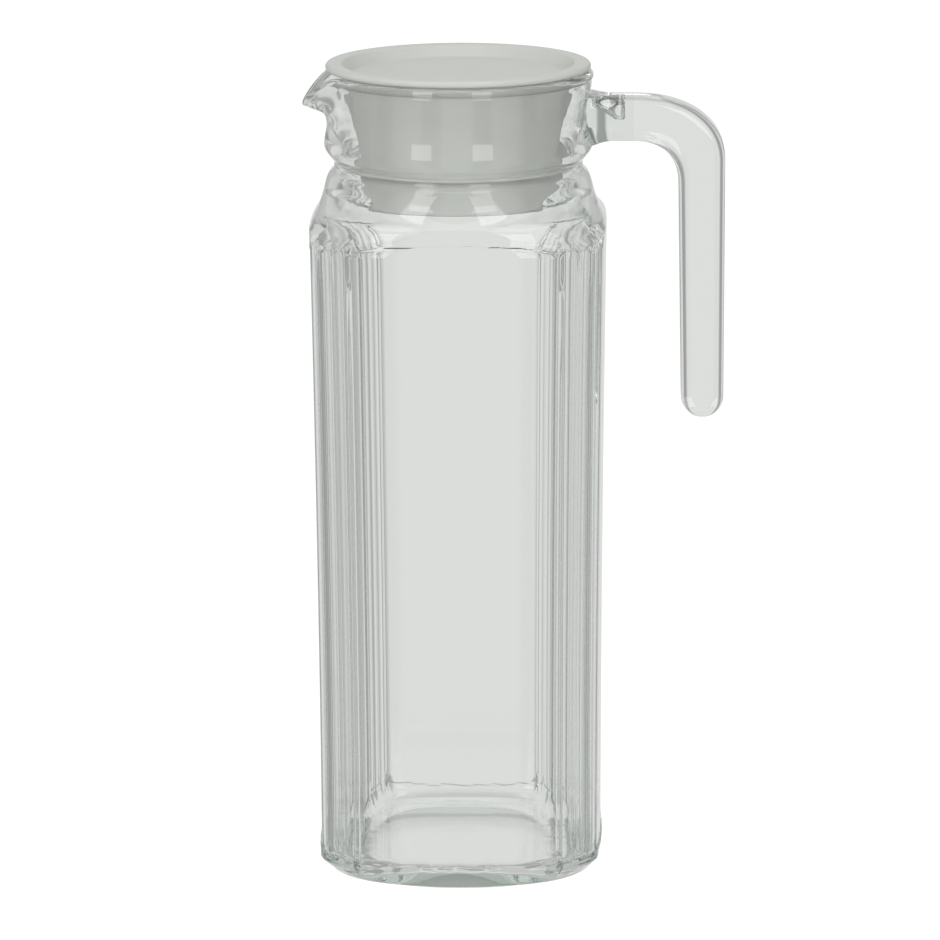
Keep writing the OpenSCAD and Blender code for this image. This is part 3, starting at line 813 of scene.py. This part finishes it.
def pressed_glass(name, tint, wave_scale, wave_depth, depth_tint):
    made, tree = new_material(name)
    place = node(tree, "ShaderNodeTexCoord").outputs["Object"]
    place = node(tree, "ShaderNodeMapping", Vector=place, Scale=WAVES_UPRIGHT).outputs["Vector"]
    waves = node(tree, "ShaderNodeTexNoise", Vector=place, Scale=wave_scale, Detail=1.0, Roughness=0.4)
    bump = node(tree, "ShaderNodeBump", Height=waves.outputs["Fac"], Strength=1.0, Distance=wave_depth)
    glass = node(tree, "ShaderNodeBsdfPrincipled", Base_Color=(*tint, 1), Roughness=0.0, IOR=GLASS_IOR,
                 Transmission_Weight=1.0, Normal=bump.outputs["Normal"])
    clear, dim = (
        node(tree, "ShaderNodeBsdfTransparent", Color=(*[v * share for v in tint], 1))
        for share in (LAMP_SHARE, TRAPPED_DIM)
    )
    path = node(tree, "ShaderNodeLightPath")
    trapped = maths_for(tree)("GREATER_THAN", path.outputs["Glossy Depth"], TRAPPED_TURNS)
    surface = blend(tree, trapped, blend(tree, path.outputs["Is Shadow Ray"], glass, clear), dim)
    inside = node(tree, "ShaderNodeVolumeAbsorption", Color=DEPTH_COLOUR, Density=depth_tint)
    node(tree, "ShaderNodeOutputMaterial", Surface=surface.outputs[0], Volume=inside.outputs[0])
    return made


body_glass = pressed_glass(
    "pressed_glass", (0.979, 0.984, 0.98), wave_scale=14.0, wave_depth=0.00001, depth_tint=11.0
)
bar_glass = pressed_glass(
    "pressed_bar_glass", (0.968, 0.976, 0.971), wave_scale=60.0, wave_depth=0.00002, depth_tint=3.0
)
print("glass:", body_glass.name, bar_glass.name)

# %% [markdown]
# ## Satin plastic
# The lid is grey-white polyethylene. It lets a little light in, so it has some subsurface scattering. The mould left a
# very fine grain, and the gloss and the tone are slightly uneven, in soft clouds. Noise on Object coordinates gives
# all three, so the pattern stays on the lid when it is lifted.

# %% Satin plastic
CLOUD_TONES = ((0.3, (0.575, 0.588, 0.556, 1)), (0.7, (0.612, 0.622, 0.588, 1)))
GLOSS_RANGE = (0.34, 0.46)


def satin_plastic():
    made, tree = new_material("satin_lid_plastic")
    place = node(tree, "ShaderNodeTexCoord").outputs["Object"]
    cloud = node(tree, "ShaderNodeTexNoise", Vector=place, Scale=32.0, Detail=3.0, Roughness=0.5).outputs["Fac"]
    grain = node(tree, "ShaderNodeTexNoise", Vector=place, Scale=2600.0, Detail=2.0, Roughness=0.6).outputs["Fac"]
    tone = node(tree, "ShaderNodeValToRGB", Fac=cloud)
    for stop, (position, colour) in zip(tone.color_ramp.elements, CLOUD_TONES):
        stop.position, stop.color = position, colour
    gloss = node(tree, "ShaderNodeMapRange", Value=cloud, To_Min=GLOSS_RANGE[0], To_Max=GLOSS_RANGE[1])
    bump = node(tree, "ShaderNodeBump", Height=grain, Strength=0.35, Distance=0.00004)
    plastic = node(tree, "ShaderNodeBsdfPrincipled", Base_Color=tone.outputs["Color"], IOR=1.5,
                   Roughness=gloss.outputs["Result"], Normal=bump.outputs["Normal"], Subsurface_Weight=0.12,
                   Subsurface_Radius=(0.004, 0.004, 0.0035), Subsurface_Scale=0.5)
    node(tree, "ShaderNodeOutputMaterial", Surface=plastic.outputs[0])
    return made


lid_plastic = satin_plastic()
print("plastic:", lid_plastic.name)

# %% [markdown]
# ## Turning the lid with nodes
# The real lid is turned by its mould, so its shape is one section that goes round an axis. A Screw modifier could do
# that too, but a tree keeps its sizes as named inputs. Each grid point knows where it lies across the grid. One
# direction gives the angle round the axis, and the other gives which point of the section to read. Points that meet
# at the seam and at the middle are merged.

# %% The turned grid
MERGE_M = 0.000002


def turned_grid(tree, given):
    """Nodes that bend a grid round the axis, with a row for each point of the section."""
    maths = maths_for(tree)
    grid = node(tree, "GeometryNodeMeshGrid", Size_X=1.0, Size_Y=1.0, Vertices_Y=given.outputs["Section Points"],
                Vertices_X=maths("ADD", given.outputs["Segments"], 1))
    where = node(tree, "GeometryNodeInputPosition").outputs[0]
    split = node(tree, "ShaderNodeSeparateXYZ", Vector=where)
    angle = maths("MULTIPLY", maths("ADD", split.outputs["X"], 0.5), 2 * math.pi)
    steps = maths("SUBTRACT", given.outputs["Section Points"], 1)
    row = maths("ROUND", maths("MULTIPLY", maths("ADD", split.outputs["Y"], 0.5), steps))
    read = node(tree, "GeometryNodeSampleIndex", data_type="FLOAT_VECTOR", domain="POINT",
                Geometry=given.outputs["Geometry"], Value=where, Index=row)
    point = node(tree, "ShaderNodeSeparateXYZ", Vector=read.outputs["Value"])
    x = maths("MULTIPLY", point.outputs["X"], maths("COSINE", angle))
    y = maths("MULTIPLY", point.outputs["X"], maths("SINE", angle))
    turned = node(tree, "ShaderNodeCombineXYZ", X=x, Y=y, Z=point.outputs["Z"])
    put = node(tree, "GeometryNodeSetPosition", Geometry=grid.outputs["Mesh"], Position=turned.outputs[0])
    return node(tree, "GeometryNodeMergeByDistance", Geometry=put.outputs[0], Distance=MERGE_M).outputs[0]


print("points closer than", MERGE_M, "m are merged")

# %% [markdown]
# ## The pouring gap
# The real lid pours when the opening in its skirt faces the spout. The section could stop short on that side, but the
# rim and the dish go all the way round, so a box takes away a part of the skirt alone.

# %% The cutter for the pouring gap
def gap_cutter(tree, given):
    """Nodes that make a box on the spout's side, as high as the skirt."""
    maths = maths_for(tree)
    reach, wide, low, high = (given.outputs["Gap " + end] for end in ("Reach", "Width", "Low", "High"))
    size = node(tree, "ShaderNodeCombineXYZ", X=reach, Y=wide, Z=maths("SUBTRACT", high, low))
    box = node(tree, "GeometryNodeMeshCube", Size=size.outputs[0])
    middle = maths("MULTIPLY", maths("ADD", high, low), 0.5)
    offset = node(tree, "ShaderNodeCombineXYZ", X=maths("MULTIPLY", reach, -0.5), Z=middle)
    return node(tree, "GeometryNodeTransform", Geometry=box.outputs["Mesh"], Translation=offset.outputs[0]).outputs[0]


print("the box for the gap is", POUR_GAP_W, "mm wide")

# %% [markdown]
# ## The lid's own tree
# The tree cuts the gap out of the turned shape and gives it the plastic. It could stay on the lid as a modifier, but
# a plain mesh is sure to come out the same in every export, so the tree is run once and its result is kept.

# %% The whole tree
def turning_tree():
    tree = bpy.data.node_groups.new("turned_moulding", "GeometryNodeTree")
    face = tree.interface
    face.new_socket("Geometry", in_out="INPUT", socket_type="NodeSocketGeometry")
    for label, kind, value in (
        ("Segments", "NodeSocketInt", 192),
        ("Section Points", "NodeSocketInt", 2),
        ("Gap Width", "NodeSocketFloat", 0.02),
        ("Gap Reach", "NodeSocketFloat", 0.04),
        ("Gap Low", "NodeSocketFloat", 0.2),
        ("Gap High", "NodeSocketFloat", 0.22),
    ):
        face.new_socket(label, in_out="INPUT", socket_type=kind).default_value = value
    face.new_socket("Geometry", in_out="OUTPUT", socket_type="NodeSocketGeometry")
    given, out = node(tree, "NodeGroupInput"), node(tree, "NodeGroupOutput")
    cut = node(tree, "GeometryNodeMeshBoolean", operation="DIFFERENCE", Mesh_1=turned_grid(tree, given),
               Mesh_2=gap_cutter(tree, given))
    real = node(tree, "GeometryNodeRealizeInstances", Geometry=cut.outputs["Mesh"])
    finish = node(tree, "GeometryNodeSetMaterial", Geometry=real.outputs[0], Material=lid_plastic)
    tree.links.new(finish.outputs[0], out.inputs[0])
    return tree


def run_tree(piece, tree, values):
    """Runs a Geometry Nodes tree on a piece, and leaves the result as its plain mesh."""
    step = piece.modifiers.new("made", "NODES")
    step.node_group = tree
    for item in tree.interface.items_tree:
        if item.in_out == "INPUT" and item.name in values:
            step[item.identifier] = values[item.name]
    bpy.context.view_layer.update()
    made = bpy.data.meshes.new_from_object(piece.evaluated_get(bpy.context.evaluated_depsgraph_get()))
    piece.modifiers.clear()
    piece.data = made


lid_sizes = {
    "Segments": 224,
    "Section Points": len(section_points),
    "Gap Width": POUR_GAP_W * MM,
    "Gap Reach": RIM_R * MM,
    "Gap Low": (SKIRT_END_Z - 1) * MM,
    "Gap High": (FIN_Z + FIN_T + 1) * MM,
}
run_tree(lid, turning_tree(), lid_sizes)
face_outwards(lid.data)
report(lid)

# %% [markdown]
# ## Finishing the pieces
# Smooth shading hides the facets of the mesh, but true edges have to stay crisp, so an edge is kept sharp where two
# faces meet at more than a set angle.

# %% Smooth shading and materials
def finish_piece(piece, material, crisp_degrees):
    if not piece.data.materials:
        piece.data.materials.append(material)
    piece.data.materials[0] = material
    piece.data.polygons.foreach_set("use_smooth", [True] * len(piece.data.polygons))
    piece.data.set_sharp_from_angle(angle=math.radians(crisp_degrees))
    piece.data.update()


finish_piece(jug, body_glass, 50)
finish_piece(handle, bar_glass, 50)
finish_piece(lid, lid_plastic, 40)
for piece, body, cad_node, slot in (
    (jug, "jug", "jug_body", "jug_glass"),
    (handle, "jug", "handle", "handle_glass"),
    (lid, "lid", "lid", "lid_plastic"),
):
    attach(piece, body)
    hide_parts(cad_node)

# %% [markdown]
# ## The studio
# The jug stands on a plain pale floor in a pale studio. Clear glass shows only what it bends: in an all-white room it
# would vanish, so photographers put dark cards beside it, out of view. Here the room that shows in the glass is pale
# in eight directions, so that the jug is clear from each of them, with a soft dark band between each two. The sides
# and the ceiling are a little darker, and the table straight below is darkened as a painted shadow of the jug. The
# room that lights dull surfaces is an even grey, and the camera sees a white one.

# %% The room
# A ramp runs from where the dark begins to where it is full.
BANDS, BANDS_RAMP, BANDS_SHARE = 8, (0.1, -0.8), 0.65
SIDES_RAMP, SIDES_SHARE = (0.86, 0.28), 0.2
CEILING_RAMP, CEILING_SHARE = (0.72, 0.95), 0.4
# The table straight below is darkened as a painted shadow of the jug.
TABLE_SHADOW_RAMP, TABLE_SHADOW_SHARE = (-0.4, -0.75), 0.28
PALE_WALL, DARK_CARD = (0.76, 0.765, 0.755, 1), (0.12, 0.127, 0.122, 1)
DULL_LIGHT, WHITE = (0.54, 0.54, 0.54, 1), (1, 1, 1, 1)


def build_room():
    world = bpy.data.worlds.new("studio")
    bpy.context.scene.world = world
    world.use_nodes = True
    tree = world.node_tree
    tree.nodes.clear()
    maths = maths_for(tree)

    def shade(value, ends, share):
        made = node(tree, "ShaderNodeMapRange", interpolation_type="SMOOTHSTEP", Value=value, From_Min=ends[0],
                    From_Max=ends[1])
        return maths("MULTIPLY", made.outputs["Result"], share)

    def choose(factor, first, second):
        return node(tree, "ShaderNodeMix", data_type="RGBA", Factor=factor, A=first, B=second).outputs["Result"]

    split = node(tree, "ShaderNodeSeparateXYZ", Vector=node(tree, "ShaderNodeTexCoord").outputs["Generated"])
    turn = maths("ARCTAN2", split.outputs["Y"], split.outputs["X"])
    dark = shade(maths("COSINE", maths("MULTIPLY", turn, BANDS)), BANDS_RAMP, BANDS_SHARE)
    for where, ends, share in (
        (maths("ABSOLUTE", maths("SINE", turn)), SIDES_RAMP, SIDES_SHARE),
        (split.outputs["Z"], CEILING_RAMP, CEILING_SHARE),
        # this ramp paints the jug's shadow on the table straight below
        (split.outputs["Z"], TABLE_SHADOW_RAMP, TABLE_SHADOW_SHARE),
    ):
        dark = maths("MAXIMUM", dark, shade(where, ends, share))
    path = node(tree, "ShaderNodeLightPath")
    through = maths("MAXIMUM", path.outputs["Is Glossy Ray"], path.outputs["Is Transmission Ray"])
    through = maths("MULTIPLY", through, maths("LESS_THAN", path.outputs["Diffuse Depth"], 0.5))
    lit = choose(through, DULL_LIGHT, choose(dark, PALE_WALL, DARK_CARD))
    sky = node(tree, "ShaderNodeBackground", Strength=1.0, Color=choose(path.outputs["Is Camera Ray"], lit, WHITE))
    node(tree, "ShaderNodeOutputWorld", Surface=sky.outputs[0])


build_room()
print("the room is ready, with", BANDS, "soft bands")

# %% [markdown]
# ## The floor
# A sheet of pale paper. It glows a little where the camera sees it, which makes it white, and keeps the jug's soft
# shadow. Glossy and transmission rays go straight through it, so that glass shows the room's own pale table.

# %% The floor
FLOOR_REACH, FLOOR_Z = 6.0, -0.0001
PAPER, PAPER_GLOW, GLOW_SHARE = (0.93, 0.93, 0.93, 1), (1.27, 1.27, 1.27, 1), 0.7


def build_floor():
    mesh = bpy.data.meshes.new("floor")
    corners = [(x * FLOOR_REACH, y * FLOOR_REACH, FLOOR_Z) for x, y in ((-1, -1), (1, -1), (1, 1), (-1, 1))]
    mesh.from_pydata(corners, [], [(0, 1, 2, 3)])
    floor = bpy.data.objects.new("floor", mesh)
    bpy.context.scene.collection.objects.link(floor)
    made, tree = new_material("floor_paper")
    paper = node(tree, "ShaderNodeBsdfDiffuse", Color=PAPER)
    glow = node(tree, "ShaderNodeEmission", Strength=1.0, Color=PAPER_GLOW)
    maths, path = maths_for(tree), node(tree, "ShaderNodeLightPath").outputs
    seen = blend(tree, maths("MULTIPLY", path["Is Camera Ray"], GLOW_SHARE), paper, glow)
    through = maths("MAXIMUM", path["Is Glossy Ray"], path["Is Transmission Ray"])
    surface = blend(tree, through, seen, node(tree, "ShaderNodeBsdfTransparent"))
    node(tree, "ShaderNodeOutputMaterial", Surface=surface.outputs[0])
    mesh.materials.append(made)


build_floor()
print("the floor is", 2 * FLOOR_REACH, "m wide")

# %% [markdown]
# ## The lamps
# Two tall soft boxes stand in front, one at either side of the camera, and a wide one hangs overhead. They are weak,
# because the room gives most of the light: they only make the soft highlights on the shoulder and shape the lid.

# %% The lamps
LAMP_AIM_Z = 0.15
# Name, turn in degrees from the front, then reach, height, width and length in metres, then watts.
LAMPS = (
    ("softbox_left", -30, 1.5, 0.8, 0.5, 1.1, 5),
    ("softbox_right", 22, 1.5, 0.8, 0.5, 1.1, 5),
    ("overhead", 0, 0.2, 1.7, 1.2, 1.2, 6),
)


def soft_lamp(name, turn, reach, height, width, length, watts):
    data = bpy.data.lights.new(name, "AREA")
    data.shape = "RECTANGLE"
    data.size, data.size_y, data.energy = width, length, watts
    lamp = bpy.data.objects.new(name, data)
    bpy.context.scene.collection.objects.link(lamp)
    a = math.radians(turn)
    lamp.location = (reach * math.sin(a), -reach * math.cos(a), height)
    lamp.rotation_euler = (lamp.location - Vector((0, 0, LAMP_AIM_Z))).to_track_quat("Z", "Y").to_euler()


for lamp in LAMPS:
    soft_lamp(*lamp)

# %% [markdown]
# ## The last lines
# The view transform shows colours as they are written. The pieces have to stay inside the solids' box.

# %% The view transform
bpy.context.scene.view_settings.view_transform = "Standard"
